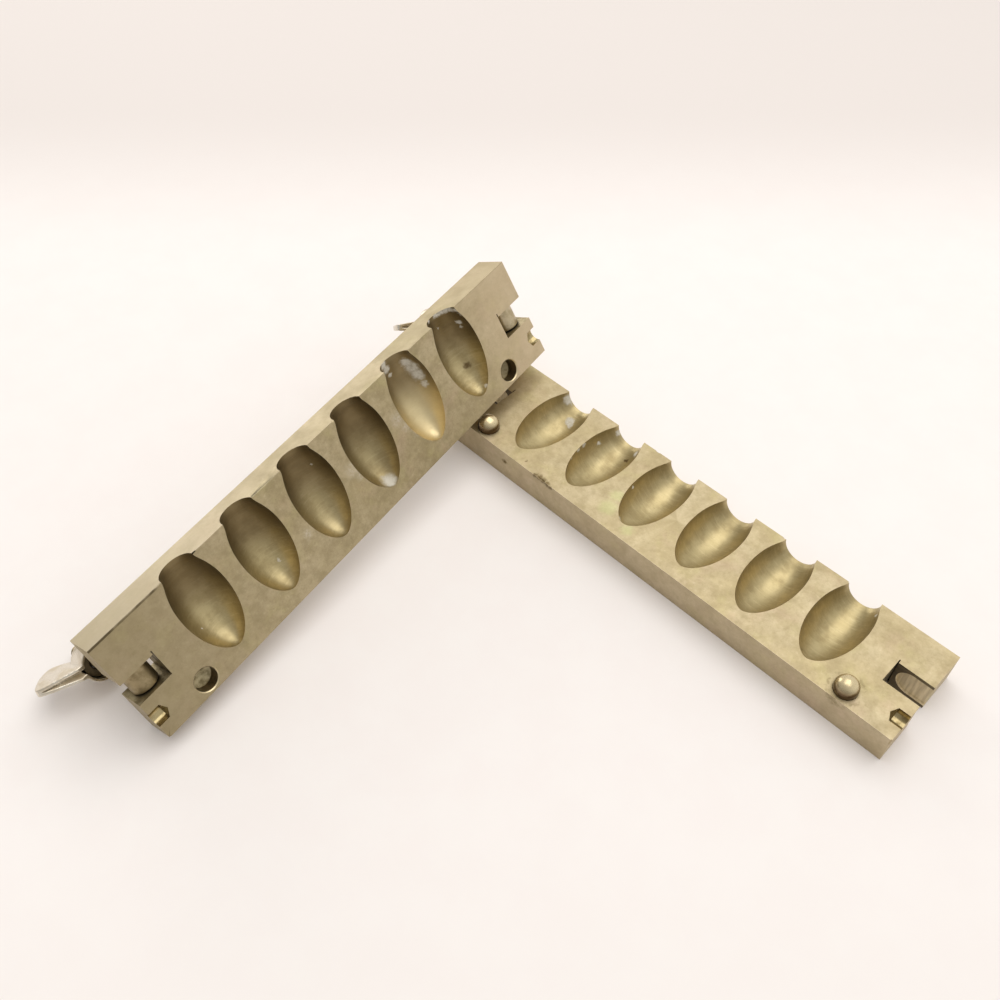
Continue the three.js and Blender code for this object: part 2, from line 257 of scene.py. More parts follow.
def box_mesh(low, high):
    corners = [(x, y, z) for z in (low[2], high[2]) for y in (low[1], high[1]) for x in (low[0], high[0])]
    faces = [(0, 2, 3, 1), (4, 5, 7, 6), (0, 1, 5, 4), (2, 6, 7, 3), (0, 4, 6, 2), (1, 3, 7, 5)]
    return mesh_from("box", corners, faces)


def prism(outline, thickness):
    """A flat outline in x and z with a thickness along y, or one thickness per point."""
    if not isinstance(thickness, (list, tuple)):
        thickness = [thickness] * len(outline)
    rows = []
    for side in ENDS:
        rows.append([(x, side * t / 2, z) for (x, z), t in zip(outline, thickness)])
    return grid_body(rows, "prism")


def placed(mesh, matrix):
    mesh.transform(matrix)
    return mesh


def moved(mesh, x=0.0, y=0.0, z=0.0):
    return placed(mesh, Matrix.Translation((x, y, z)))


def quarter_turn(mesh, axis, quarters=1):
    return placed(mesh, Matrix.Rotation(quarters * math.pi / 2, 4, axis))


def apply_modifiers(obj):
    bpy.context.view_layer.update()
    graph = bpy.context.evaluated_depsgraph_get()
    mesh = bpy.data.meshes.new_from_object(obj.evaluated_get(graph))
    obj.modifiers.clear()
    obj.data = mesh


def boolean(obj, mesh, operation):
    tool = object_from("tool", mesh)
    step = obj.modifiers.new("cut", "BOOLEAN")
    step.operation = operation
    step.solver = "EXACT"
    step.use_self = operation == "UNION"
    step.material_mode = "TRANSFER"
    step.object = tool
    apply_modifiers(obj)
    bpy.data.objects.remove(tool)


def tidy_mesh(obj, distance=0.002):
    build = bmesh.new()
    build.from_mesh(obj.data)
    bmesh.ops.remove_doubles(build, verts=build.verts, dist=distance)
    bmesh.ops.dissolve_degenerate(build, edges=build.edges, dist=distance)
    build.to_mesh(obj.data)
    build.free()


def round_edges(obj, width, angle=35, segments=2):
    """Small rounded edges."""
    step = obj.modifiers.new("round", "BEVEL")
    step.width = width
    step.segments = segments
    step.limit_method = "ANGLE"
    step.angle_limit = math.radians(angle)
    step.use_clamp_overlap = True
    step.miter_outer = "MITER_ARC"
    apply_modifiers(obj)


def smooth(obj, sharp_angle=50, flat_area=math.inf):
    for face in obj.data.polygons:
        face.use_smooth = face.area < flat_area
    obj.data.set_sharp_from_angle(angle=math.radians(sharp_angle))
    step = obj.modifiers.new("weighted", "WEIGHTED_NORMAL")
    step.keep_sharp = True
    apply_modifiers(obj)


def paint(mesh, *materials):
    mesh.materials.clear()
    for material in materials:
        mesh.materials.append(material)
    return mesh


def keep_place(mesh):
    """Notes where each point is, in metres, for the materials to read."""
    points = [0.0] * (3 * len(mesh.vertices))
    mesh.vertices.foreach_get("co", points)
    mesh.attributes.new("place", "FLOAT_VECTOR", "POINT").data.foreach_set("vector", points)


def finish_piece(obj, matrix, body, slot, *nodes):
    """Brings a piece from millimetres in its own frame to its place, and hands it to a body."""
    mesh = obj.data
    mesh.transform(Matrix.Scale(MM, 4))
    keep_place(mesh)
    mesh.transform(matrix)
    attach(obj, body)
    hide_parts(*nodes)


# Places of the halves, bolts and nuts, from the joints of the frame

joints = {joint["name"]: joint for joint in frame["joints"]}


def half_b_place():
    return Matrix.Translation((0, 0, high_b.z))


def half_a_place():
    left = Vector(joints["swing_left"]["pos_m"])
    right = Vector(joints["swing_right"]["pos_m"])
    along = (right - left).normalized()
    across = Vector(joints["swing_left"]["axis"]).normalized()
    outward = along.cross(across)
    centre = (left + right) / 2 - outward * MID_DEPTH * MM
    turn = Matrix((along, across, outward)).transposed().to_4x4()
    return Matrix.Translation(centre) @ turn


def bolt_place(side):
    pivot = Vector(joints["swing_" + side]["pos_m"])
    shank = Vector(joints["turn_nut_" + side]["axis"]).normalized()
    across = Vector(joints["swing_left"]["axis"]).normalized()
    sideways = across.cross(shank)
    turn = Matrix((sideways, across, shank)).transposed().to_4x4()
    return Matrix.Translation(pivot) @ turn


def nut_place(side, turn):
    nut = Vector(joints["turn_nut_" + side]["pos_m"])
    bolt = bolt_place(side)
    lift = Matrix.Translation(nut - bolt.translation)
    return lift @ bolt @ Matrix.Rotation(turn, 4, "Z")


# Materials

class Shader:
    """A material's node tree, with short ways to add the nodes used here."""

    def __init__(self, name):
        self.material = bpy.data.materials.new(name)
        self.material.use_nodes = True
        self.tree = self.material.node_tree
        self.surface = self.tree.nodes["Principled BSDF"]
        own_place = self.tree.nodes.new("ShaderNodeAttribute")
        own_place.attribute_name = "place"
        self.position = own_place.outputs["Vector"]

    def put(self, socket, value):
        if isinstance(value, bpy.types.NodeSocket):
            self.tree.links.new(value, socket)
        else:
            socket.default_value = value

    def set(self, **values):
        for name, value in values.items():
            self.put(self.surface.inputs[name.replace("_", " ")], value)

    def scaled(self, scale):
        node = self.tree.nodes.new("ShaderNodeMapping")
        self.put(node.inputs["Vector"], self.position)
        node.inputs["Scale"].default_value = scale
        return node.outputs["Vector"]

    def noise(self, scale, detail=4.0, roughness=0.55, vector=None):
        node = self.tree.nodes.new("ShaderNodeTexNoise")
        self.put(node.inputs["Vector"], vector or self.position)
        node.inputs["Scale"].default_value = scale
        node.inputs["Detail"].default_value = detail
        node.inputs["Roughness"].default_value = roughness
        return node.outputs["Fac"]

    def specks(self, scale, size):
        """Small round spots, one for the centre of each cell."""
        node = self.tree.nodes.new("ShaderNodeTexVoronoi")
        self.put(node.inputs["Vector"], self.position)
        node.inputs["Scale"].default_value = scale
        return self.span(node.outputs["Distance"], size, size * 0.4)

    def span(self, value, low, high, to_low=0.0, to_high=1.0):
        node = self.tree.nodes.new("ShaderNodeMapRange")
        node.interpolation_type = "SMOOTHSTEP"
        self.put(node.inputs["Value"], value)
        node.inputs["From Min"].default_value = low
        node.inputs["From Max"].default_value = high
        node.inputs["To Min"].default_value = to_low
        node.inputs["To Max"].default_value = to_high
        return node.outputs["Result"]

    def sum(self, operation, first, second):
        node = self.tree.nodes.new("ShaderNodeMath")
        node.operation = operation
        self.put(node.inputs[0], first)
        self.put(node.inputs[1], second)
        return node.outputs[0]

    def blend(self, amount, first, second):
        node = self.tree.nodes.new("ShaderNodeMix")
        node.data_type = "RGBA"
        self.put(node.inputs["Factor"], amount)
        self.put(node.inputs[6], first)
        self.put(node.inputs[7], second)
        return node.outputs[2]

    def axes(self):
        node = self.tree.nodes.new("ShaderNodeSeparateXYZ")
        self.put(node.inputs[0], self.position)
        return node.outputs

    def bump(self, height, distance):
        node = self.tree.nodes.new("ShaderNodeBump")
        self.put(node.inputs["Height"], height)
        node.inputs["Distance"].default_value = distance
        self.put(self.surface.inputs["Normal"], node.outputs["Normal"])

    def corners(self, distance):
        """Near 1 in open places and near 0 in corners."""
        node = self.tree.nodes.new("ShaderNodeAmbientOcclusion")
        node.samples = 8
        node.inputs["Distance"].default_value = distance
        return node.outputs["AO"]

    def vector_sum(self, operation, first, second):
        node = self.tree.nodes.new("ShaderNodeVectorMath")
        node.operation = operation
        self.put(node.inputs[0], first)
        self.put(node.inputs[1], second)
        return node.outputs["Value" if operation == "DISTANCE" else "Vector"]

    def ragged(self, reach, scale=900.0):
        """The position pushed about by noise, so that patches get ragged outlines."""
        node = self.tree.nodes.new("ShaderNodeTexNoise")
        self.put(node.inputs["Vector"], self.position)
        node.inputs["Scale"].default_value = scale
        node.inputs["Detail"].default_value = 4.0
        half = self.vector_sum("SUBTRACT", node.outputs["Color"], (0.5, 0.5, 0.5))
        push = self.vector_sum("MULTIPLY", half, (reach, reach, reach))
        return self.vector_sum("ADD", self.position, push)

    def patches(self, spots, softness=0.3, reach=1.8):
        """1 inside any of the spots, given as (middle, radius) in millimetres, and 0 outside."""
        place = self.ragged(reach * MM)
        total = None
        for middle, radius in spots:
            away = self.vector_sum("DISTANCE", place, tuple(value * MM for value in middle))
            mask = self.span(away, radius * MM * (1 + softness), radius * MM * (1 - softness))
            total = mask if total is None else self.sum("MAXIMUM", total, mask)
        return total


def colour(red, green, blue):
    """An sRGB colour, 0 to 255, as linear light."""
    linear = []
    for value in (red, green, blue):
        share = value / 255
        linear.append(share / 12.92 if share <= 0.04045 else ((share + 0.055) / 1.055) ** 2.4)
    return (*linear, 1.0)


def aged_brass(name, pale, warm, dark):
    """Handled brass: soft mottled tarnish, fine file marks, a few specks and painted shade in corners."""
    look = Shader(name)
    blotches = look.span(look.noise(48, 5, 0.62), 0.36, 0.66)
    clouds = look.span(look.noise(210, 5, 0.68), 0.4, 0.68)
    mottle = look.noise(640, 5, 0.7)
    grain = look.noise(1900, 4, 0.7)
    marks = look.noise(900, 3, 0.6, look.scaled((0.12, 1.0, 1.0)))
    tone = look.blend(blotches, pale, warm)
    tone = look.blend(look.sum("MULTIPLY", clouds, 0.6), tone, dark)
    tone = look.blend(look.span(look.noise(90, 3, 0.6), 0.5, 0.7, 0.0, 0.35), tone, colour(188, 178, 126))
    tone = look.blend(look.span(look.noise(75, 3, 0.6), 0.52, 0.72, 0.0, 0.35), tone, colour(196, 172, 148))
    tone = look.blend(look.span(mottle, 0.48, 0.74, 0.0, 0.6), tone, dark)
    tone = look.blend(look.span(mottle, 0.46, 0.26, 0.0, 0.35), tone, colour(214, 200, 168))
    tone = look.blend(look.span(grain, 0.45, 0.8, 0.0, 0.45), tone, dark)
    flecks = look.sum("MULTIPLY", look.specks(300, 0.07), look.span(look.noise(90, 2), 0.5, 0.6))
    tone = look.blend(look.sum("MULTIPLY", flecks, 0.5), tone, colour(96, 84, 56))
    # Painted shade: darker in corners, where the ambient occlusion finds less open space.
    corner_shade = look.span(look.corners(1.4 * MM), 0.3, 0.8, 0.5, 0.0)
    look.tone = look.blend(corner_shade, tone, colour(92, 80, 54))
    roughness = look.span(look.noise(140, 4, 0.6), 0.3, 0.7, 0.46, 0.6)
    look.set(Metallic=0.92, Roughness=roughness)
    height = look.sum("ADD", look.sum("MULTIPLY", grain, 0.5), look.sum("MULTIPLY", marks, 0.4))
    height = look.sum("SUBTRACT", height, look.sum("MULTIPLY", flecks, 0.8))
    look.bump(height, 0.018 * MM)
    return look


def olive_bar(name):
    """Half A's faces: painted shade at the left end, painted light at the right end, a pouring face made
    paler by a painted reflection and a dark line of painted shade along its left edge.
    """
    look = aged_brass(name, colour(186, 171, 139), colour(177, 162, 127), colour(152, 138, 104))
    x, y, z = look.axes()
    # Painted shade darkens the left end and painted light brightens the right end.
    tone = look.blend(look.span(x, -0.03, -0.085, 0.0, 0.6), look.tone, colour(150, 136, 106))
    tone = look.blend(look.span(x, 0.045, 0.085, 0.0, 0.6), tone, colour(212, 193, 162))
    # Painted reflection: the pouring face is paler, most at the left end and least at the right.
    pour = look.span(y, 0.0172, 0.01745)
    pale = look.blend(look.span(x, -0.05, -0.01), colour(210, 197, 170), colour(178, 165, 136))
    pale = look.blend(look.span(x, 0.02, 0.085), pale, colour(148, 135, 102))
    tone = look.blend(look.sum("MULTIPLY", pour, 0.55), tone, pale)
    # Painted shade: a thin dark line along the joint edge at the left end.
    line = look.sum("MULTIPLY", look.span(y, 0.0168, 0.017), look.span(z, -0.0003, -0.0001))
    line = look.sum("MULTIPLY", line, look.span(x, -0.061, -0.064, 0.0, 0.9))
    line = look.sum("MULTIPLY", line, look.span(look.noise(150, 3), 0.3, 0.5, 0.5, 1.0))
    tone = look.blend(line, tone, colour(84, 72, 50))
    film = look.span(look.noise(1300, 4, 0.7), 0.35, 0.65, 0.15, 0.6)
    mask = look.sum("MULTIPLY", look.patches(HAZE_A, 0.8, 3.4), film)
    look.set(Base_Color=look.blend(mask, tone, colour(212, 203, 184)))
    return look.material


def sand_bar(name):
    """Half B's faces: paler, with green tints, brown smears, a ring round the right dowel and a front face
    made paler by a painted reflection.
    """
    look = aged_brass(name, colour(193, 178, 145), colour(184, 168, 131), colour(164, 148, 112))
    green = look.sum("MULTIPLY", look.patches(GREEN_B, 0.6, 3.0), 0.35)
    tone = look.blend(green, look.tone, colour(200, 206, 146))
    # Painted reflection: the front face is made paler.
    front = look.span(look.axes()[1], -0.0173, -0.01745, 0.0, 0.22)
    tone = look.blend(front, tone, colour(216, 204, 184))
    middle, radius = RING_B
    away = look.vector_sum("DISTANCE", look.ragged(1.2 * MM), tuple(value * MM for value in middle))
    ring = look.sum("MULTIPLY", look.span(away, radius * MM - 0.0007, radius * MM),
                    look.span(away, radius * MM + 0.0009, radius * MM + 0.0001))
    ring = look.sum("MULTIPLY", ring, look.span(look.noise(420, 4, 0.7), 0.42, 0.66, 0.0, 0.6))
    tone = look.blend(ring, tone, colour(124, 110, 76))
    smear = look.sum("MULTIPLY", look.patches(SMEARS_B, 0.5), 0.75)
    look.set(Base_Color=look.blend(smear, tone, colour(104, 86, 52)))
    return look.material


def turned_cavity(name, chalk_and_highlight, stains, neck_shade, cavity_tints=()):
    """The inside of a cavity: dull olive brass with faint turning rings, white patches that are partly
    chalky film and partly painted highlight, stains and painted shade towards the neck.
    """
    look = Shader(name)
    rings = look.noise(2600, 3, 0.55, look.scaled((0.03, 1.0, 0.03)))
    bands = look.span(look.noise(240, 3, 0.6, look.scaled((0.12, 1.0, 0.12))), 0.35, 0.7)
    blotches = look.span(look.noise(150, 5, 0.65), 0.38, 0.66)
    streaks = look.span(look.noise(1500, 3, 0.7, look.scaled((0.12, 1.0, 0.12))), 0.5, 0.72)
    grain = look.noise(1700, 4, 0.7)
    tone = look.blend(bands, colour(188, 172, 130), colour(176, 160, 118))
    tone = look.blend(look.sum("MULTIPLY", blotches, 0.6), tone, colour(154, 137, 98))
    tone = look.blend(look.sum("MULTIPLY", streaks, 0.3), tone, colour(212, 198, 156))
    tone = look.blend(look.span(grain, 0.5, 0.8, 0.0, 0.35), tone, colour(134, 118, 82))
    x, y, _ = look.axes()
    # Single cavities tinted lighter or darker.
    for middle, amount, shade in cavity_tints:
        away = look.sum("ABSOLUTE", look.sum("SUBTRACT", x, middle * MM), 0.0)
        tone = look.blend(look.span(away, 0.0095, 0.0085, 0.0, amount), tone, colour(*shade))
    # Painted shade: darker towards the neck.
    tone = look.blend(look.span(y, -0.004, 0.008, 0.0, neck_shade), tone, colour(104, 88, 60))
    tone = look.blend(look.sum("MULTIPLY", look.patches(stains, 0.5), 0.8), tone, colour(84, 62, 34))
    # White patches: partly chalky film, partly painted highlight.
    film = look.span(look.noise(420, 5, 0.75), 0.3, 0.6, 0.45, 0.9)
    cover = look.sum("MULTIPLY", look.patches(chalk_and_highlight, 0.45, 2.2), film)
    tone = look.blend(cover, tone, colour(216, 211, 198))
    look.set(Base_Color=tone, Metallic=look.span(cover, 0.0, 1.0, 0.92, 0.0))
    dull = look.sum("ADD", look.span(blotches, 0.0, 1.0, 0.39, 0.5), look.sum("MULTIPLY", cover, 0.3))
    look.set(Roughness=dull)
    height = look.sum("ADD", rings, look.sum("MULTIPLY", look.noise(900, 3), 0.4))
    height = look.sum("ADD", height, look.sum("MULTIPLY", streaks, 0.8))
    look.bump(look.sum("ADD", height, look.sum("MULTIPLY", cover, 3.0)), 0.016 * MM)
    return look.material


def relief_painted_light(name):
    """The milled recess in a notch: matt, a little grey, and much paler than the notch walls as painted
    light.
    """
    look = Shader(name)
    mill = look.noise(1300, 3, 0.6, look.scaled((1.0, 1.0, 0.1)))
    tone = look.blend(look.span(mill, 0.35, 0.7), colour(232, 218, 186), colour(206, 191, 158))
    look.set(Base_Color=tone, Metallic=0.5, Roughness=look.span(mill, 0.3, 0.7, 0.5, 0.65))
    look.bump(mill, 0.02 * MM)
    return look.material


def notch_painted_shade(name):
    """Sawn notch walls, coloured dark as painted shade deep in the notch."""
    look = Shader(name)
    marks = look.noise(700, 3, 0.6, look.scaled((0.15, 1.0, 1.0)))
    tone = look.blend(look.span(marks, 0.35, 0.7), colour(106, 96, 76), colour(132, 120, 95))
    look.set(Base_Color=tone, Metallic=0.8)
    look.set(Roughness=look.span(marks, 0.3, 0.7, 0.45, 0.7))
    look.bump(marks, 0.05 * MM)
    return look.material


def turned_brass(name, pale, dark, gloss):
    """Small turned parts, with lathe marks round their own axis and painted shade in the corners where they
    stand.
    """
    look = Shader(name)
    rings = look.noise(2200, 2, 0.5, look.scaled((0.05, 0.05, 1.0)))
    blotches = look.span(look.noise(380, 4, 0.6), 0.4, 0.68)
    tone = look.blend(blotches, pale, dark)
    # Painted shade: darker in corners, where the ambient occlusion finds less open space.
    corner_shade = look.span(look.corners(1.4 * MM), 0.3, 0.85, 0.75, 0.0)
    tone = look.blend(corner_shade, tone, colour(66, 54, 38))
    look.set(Base_Color=tone, Metallic=0.95)
    look.set(Roughness=look.span(blotches, 0.0, 1.0, gloss, gloss + 0.14))
    look.bump(rings, 0.02 * MM)
    return look.material


def socket_brass(name):
    """The dowel sockets: painted light on the floor, painted shade on the walls and a paler rim."""
    look = Shader(name)
    z = look.axes()[2]
    blotches = look.span(look.noise(520, 4, 0.65), 0.4, 0.7)
    floor = look.blend(blotches, colour(186, 172, 136), colour(140, 126, 92))
    wall = look.blend(blotches, colour(116, 100, 72), colour(84, 72, 50))
    # Painted light on the floor and painted shade on the walls of the hole.
    tone = look.blend(look.span(z, -0.0043, -0.0038), floor, wall)
    tone = look.blend(look.span(z, -0.0004, -0.0002), tone, colour(206, 190, 152))
    look.set(Base_Color=tone, Metallic=0.9, Roughness=look.span(blotches, 0.0, 1.0, 0.34, 0.46))
    look.bump(blotches, 0.02 * MM)
    return look.material


def dowel_brass(name):
    """Polished pin heads, pale on top as a painted highlight and dark round the foot as painted shade."""
    look = Shader(name)
    blotches = look.span(look.noise(420, 4, 0.6), 0.42, 0.7)
    tone = look.blend(blotches, colour(213, 196, 157), colour(194, 177, 138))
    # Painted shade round the foot. The pale tone above stands for a painted highlight.
    foot = look.span(look.axes()[2], 0.0017, 0.0037, 1.0, 0.0)
    foot = look.sum("MULTIPLY", foot, look.span(look.noise(500, 3), 0.2, 0.5, 0.75, 1.0))
    tone = look.blend(foot, tone, colour(98, 80, 58))
    look.set(Base_Color=tone, Metallic=0.95, Roughness=look.span(blotches, 0.0, 1.0, 0.26, 0.31))
    look.bump(look.noise(400, 2, 0.5), 0.003 * MM)
    return look.material


def nickel_plate(name):
    """Satin nickel on pressed sheet, yellowing a little, with painted shade in the folds."""
    look = Shader(name)
    clouds = look.span(look.noise(230, 5, 0.6), 0.4, 0.68)
    scratches = look.noise(1500, 3, 0.7, look.scaled((1.0, 1.0, 0.1)))
    tone = look.blend(clouds, colour(222, 215, 200), colour(202, 190, 168))
    # Painted shade: darker in folds, where the ambient occlusion finds less open space.
    corner_shade = look.span(look.corners(0.7 * MM), 0.15, 0.6, 0.7, 0.0)
    tone = look.blend(corner_shade, tone, colour(84, 77, 68))
    look.set(Base_Color=tone, Metallic=1.0)
    look.set(Roughness=look.span(clouds, 0.0, 1.0, 0.24, 0.38))
    look.bump(scratches, 0.012 * MM)
    return look.material


# Cutters for the bars. The joint face is z = 0 and the pouring edge faces +y

def half_round(stations, steps, rise=1.0):
    """A trough along y under z = 0, half round in section, with upright walls above z = 0."""
    rows = []
    for radius, y in stations:
        row = [(radius, y, rise)]
        for step in range(steps + 1):
            angle = math.pi * step / steps
            row.append((radius * math.cos(angle), y, -radius * math.sin(angle)))
        row.append((-radius, y, rise))
        rows.append(row)
    return grid_body(rows)


def blended(radius, floor=NECK_RADIUS, width=NECK_BLEND):
    """The larger of two radii, with a soft passage between them."""
    return (radius + floor + math.hypot(radius - floor, width)) / 2


def cavity_stations(overrun=1.0, tip_radius=0.05, blend_part=0.4):
    """Radii along a cavity, from its tip to past the pouring face."""
    stations = [(tip_radius, WAIST_Y - CAVITY_TIP_REACH)]
    for ring in range(1, CAVITY_RINGS + 1):
        angle = (math.pi / 2) * (1 - ring / CAVITY_RINGS)
        radius = CAVITY_RADIUS * math.cos(angle) ** (2 * TIP_TAPER)
        stations.append((radius, WAIST_Y - CAVITY_TIP_REACH * math.sin(angle)))
    mouth = HALF_WIDTH + overrun - WAIST_Y
    for ring in range(1, CAVITY_RINGS + 1):
        reach = mouth * ring / CAVITY_RINGS
        level = CAVITY_RADIUS * math.sqrt(max(0.0, 1 - (reach / CAVITY_NECK_REACH) ** 2))
        share = min(1.0, reach / (blend_part * mouth))
        stations.append((level + (blended(level) - level) * share, WAIST_Y + reach))
    return stations


def cavity_cutters(material):
    middle = (CAVITY_COUNT - 1) / 2
    for index in range(CAVITY_COUNT):
        mesh = half_round(cavity_stations(), CAVITY_STEPS)
        yield paint(moved(mesh, x=(index - middle) * CAVITY_PITCH), material)


def notch_cutter(end, material, narrowing=0.0, overrun=1.0):
    """The slot in a bar's end. A narrowing leaves that much standing along one side."""
    low = (HALF_LENGTH - NOTCH_DEPTH, narrowing - NOTCH_WIDTH / 2, -BAR_THICKNESS - overrun)
    high = (HALF_LENGTH + overrun, NOTCH_WIDTH / 2, overrun)
    mesh = box_mesh(low, high)
    if end < 0:
        mesh = placed(mesh, Matrix.Rotation(math.pi, 4, "Z"))
    return paint(mesh, material)


def saw_cutter(end, material, overrun=1.0):
    """The little overcut of the saw at a notch's inner corner."""
    inner = HALF_LENGTH - NOTCH_DEPTH
    low = (inner, NOTCH_WIDTH / 2 - SAW_WIDTH, -BAR_THICKNESS - overrun)
    high = (inner + SAW_WIDTH, NOTCH_WIDTH / 2 + SAW_OVERCUT, overrun)
    mesh = box_mesh(low, high)
    if end < 0:
        mesh = placed(mesh, Matrix.Scale(-1, 4, (1, 0, 0)))
        mesh.flip_normals()
    return paint(mesh, material)


def relief_cutter(end, material, overrun=1.0, steps=24):
    outer = HALF_LENGTH - PIVOT_X + overrun
    outline = [(outer, -RELIEF_RADIUS), (outer, RELIEF_RADIUS)]
    for step in range(steps + 1):
        angle = math.pi / 2 + math.pi * step / steps
        outline.append((RELIEF_RADIUS * math.cos(angle), RELIEF_RADIUS * math.sin(angle)))
    mesh = prism(outline, NOTCH_WIDTH + 2 * RELIEF_DEPTH)
    if end < 0:
        mesh = placed(mesh, Matrix.Rotation(math.pi, 4, "Z"))
    return paint(moved(mesh, x=end * PIVOT_X, z=MID_DEPTH), material)


def end_hole_cutter(end, material, overrun=1.0, tip_radius=0.05):
    stations = [(tip_radius, -END_HOLE_DEPTH - END_HOLE_POINT), (END_HOLE_RADIUS, -END_HOLE_DEPTH),
                (END_HOLE_RADIUS, overrun)]
    mesh = half_round(stations, CAVITY_STEPS // 2)
    mesh = placed(mesh, Matrix.Rotation(-end * math.pi / 2, 4, "Z"))
    return paint(moved(mesh, x=end * HALF_LENGTH, y=END_HOLE_Y), material)


def socket_cutter(end, material, overrun=1.0, steps=48):
    profile = [
        (0, -SOCKET_DEPTH), (SOCKET_RADIUS, SOCKET_CONE - SOCKET_DEPTH), (SOCKET_RADIUS, -SOCKET_CHAMFER),
        (SOCKET_RADIUS + SOCKET_CHAMFER + overrun, overrun), (0, overrun)]
    return paint(moved(revolve(profile, steps), x=end * DOWEL_X, y=DOWEL_Y), material)


def stem_hole_cutter(end, material, overrun=1.0, steps=48):
    radius = DOWEL_RADIUS + FIT_GAP
    depth = -DOWEL_STEM - FIT_GAP
    profile = [(0, depth), (radius, depth), (radius, overrun), (0, overrun)]
    return paint(moved(revolve(profile, steps), x=end * DOWEL_X, y=DOWEL_Y), material)


def pin_hole_cutter(end, material, overrun=1.0, steps=24):
    radius = PIN_RADIUS + FIT_GAP
    bottom = -NOTCH_WIDTH / 2 - PIN_TAIL - FIT_GAP
    profile = [(0, bottom), (radius, bottom), (radius, HALF_WIDTH + overrun), (0, HALF_WIDTH + overrun)]
    mesh = quarter_turn(revolve(profile, steps), "X", -1)
    return paint(moved(mesh, x=end * PIVOT_X, z=MID_DEPTH), material)


def nick_cutter(middle, sizes, material, grain=1.7, depth=0.28):
    """A rough pebble that takes a chip out of an edge or a face."""
    build = bmesh.new()
    bmesh.ops.create_icosphere(build, subdivisions=3, radius=1.0)
    for vertex in build.verts:
        rough = noise.noise(vertex.co * grain + Vector(middle))
        vertex.co = vertex.co * (1 + depth * rough)
        vertex.co = Vector(value * size for value, size in zip(vertex.co, sizes)) + Vector(middle)
    mesh = bpy.data.meshes.new("nick")
    build.to_mesh(mesh)
    build.free()
    return paint(mesh, material)


def bar_body(name, material, cutters, late_cutters, nicks):
    """A bar with its openings. Late cutters come after the edges are rounded, and leave sharp rims."""
    low = (-HALF_LENGTH, -HALF_WIDTH, -BAR_THICKNESS)
    obj = object_from(name, paint(box_mesh(low, (HALF_LENGTH, HALF_WIDTH, 0)), material))
    for cutter in cutters:
        boolean(obj, cutter, "DIFFERENCE")
    tidy_mesh(obj)
    round_edges(obj, EDGE_ROUND)
    for cutter in late_cutters:
        boolean(obj, cutter, "DIFFERENCE")
    for middle, sizes in nicks:
        boolean(obj, nick_cutter(middle, sizes, material), "DIFFERENCE")
    smooth(obj, flat_area=FLAT_FACE_AREA)
    return obj


def make_half_a(looks):
    cutters = [*cavity_cutters(looks["cavity_a"])]
    for end in ENDS:
        cutters += [notch_cutter(end, looks["sawn"]), saw_cutter(end, looks["notch"]),
                    end_hole_cutter(end, looks["drilled"]), socket_cutter(end, looks["socket"])]
    pin_holes = [pin_hole_cutter(end, looks["half_a"]) for end in ENDS]
    bar = bar_body("half_a_bar", looks["half_a"], cutters, pin_holes, NICKS_A)
    finish_piece(bar, half_a_place(), "half_a", "dark_brass", "half_a_block")


def make_half_b(looks):
    cutters = [*cavity_cutters(looks["cavity_b"])]
    for end in ENDS:
        cutters += [notch_cutter(end, looks["notch"], NOTCH_NARROWING), saw_cutter(end, looks["notch"]),
                    relief_cutter(end, looks["relief"]), end_hole_cutter(end, looks["drilled"]),
                    stem_hole_cutter(end, looks["notch"])]
    bar = bar_body("half_b_bar", looks["half_b"], cutters, [], NICKS_B)
    finish_piece(bar, half_b_place(), "half_b", "light_brass", "half_b_block")


# Dowel pins and cross pins

def make_dowel(side, end, look, steps=64, dome_steps=14):
    profile = [(0, -DOWEL_STEM), (DOWEL_RADIUS, -DOWEL_STEM)]
    dome = DOWEL_DOME - DOWEL_PEAK
    for step in range(dome_steps):
        angle = (math.pi / 2) * step / dome_steps
        peak = DOWEL_PEAK * (1 - math.cos(angle)) ** 4
        height = DOWEL_PROUD - DOWEL_DOME + dome * math.sin(angle) + peak
        profile.append((DOWEL_RADIUS * math.cos(angle), height))
    profile.append((0, DOWEL_PROUD))
    obj = object_from("dowel_" + side, paint(revolve(profile, steps), look))
    smooth(obj, sharp_angle=60)
    place = half_b_place() @ Matrix.Translation((end * DOWEL_X * MM, DOWEL_Y * MM, 0))
    finish_piece(obj, place, "half_b", "bright_brass", "dowel_pin_" + side)


def make_cross_pin(side, end, look, steps=32):
    length = HALF_WIDTH + NOTCH_WIDTH / 2 + PIN_TAIL
    radius = PIN_RADIUS + FIT_GAP / 2
    profile = [(0, -length), (radius, -length), (radius, 0), (0, 0)]
    pin = quarter_turn(revolve(profile, steps), "X", -1)
    pin = moved(pin, x=end * PIVOT_X, y=HALF_WIDTH, z=MID_DEPTH)
    obj = object_from("pin_" + side, paint(pin, look))
    smooth(obj, sharp_angle=40)
    finish_piece(obj, half_a_place(), "half_a", "bright_brass", "cross_pin_" + side)


# Swing bolts

